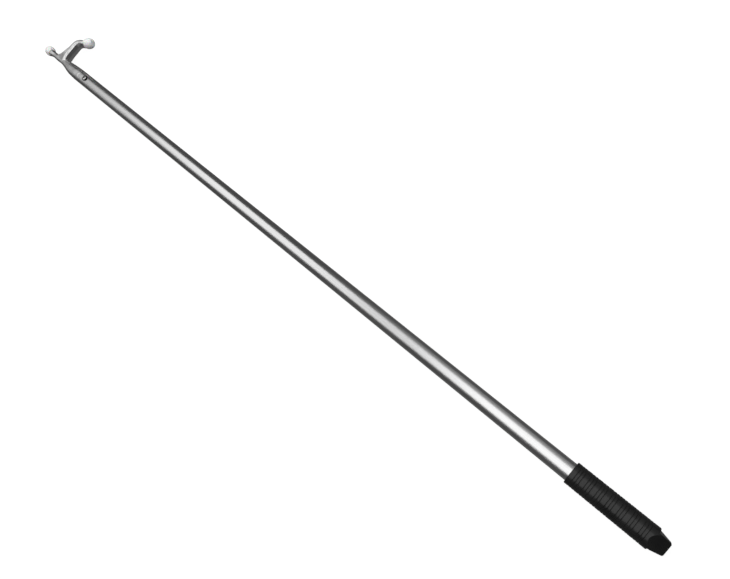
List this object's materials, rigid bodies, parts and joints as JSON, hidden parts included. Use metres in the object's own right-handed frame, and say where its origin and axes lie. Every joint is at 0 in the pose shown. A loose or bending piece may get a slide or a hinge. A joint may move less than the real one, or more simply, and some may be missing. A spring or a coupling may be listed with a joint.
{
  "type": "boat hook",
  "caption": "Plain aluminium pole with a cast hook-and-spike head with white caps at one end, and a ribbed black grip with a wedge-shaped tab at the other.",
  "frame": {"origin": "on the pole's axis, halfway along the bare tube between the head's shoulder and the grip's front edge", "axes": "+X along the pole towards the grip; +Y the side the hook's arm stands out on; +Z square to the flat of the head"},
  "size_m": [1.4161, 0.0888, 0.0312],
  "materials": {
    "anodised_tube": "satin anodised, drawn",
    "cast_alloy": "as cast, lightly tumbled",
    "white_plastic": "moulded, semi-gloss",
    "stainless_screw": "bright rolled",
    "black_grip": "moulded soft PVC, fine grain",
    "plug_plastic": "moulded",
    "float_foam": "closed-cell foam, cut"
  },
  "bodies": {
    "root": {"pole_tube": "anodised_tube", "hook_head": "cast_alloy", "spike_cap": "white_plastic", "hook_cap": "white_plastic", "head_screws": "stainless_screw", "hand_grip": "black_grip", "tail_plug": "plug_plastic", "float_plug_head": "float_foam", "float_plug_tail": "float_foam"}
  },
  "joints": []
}
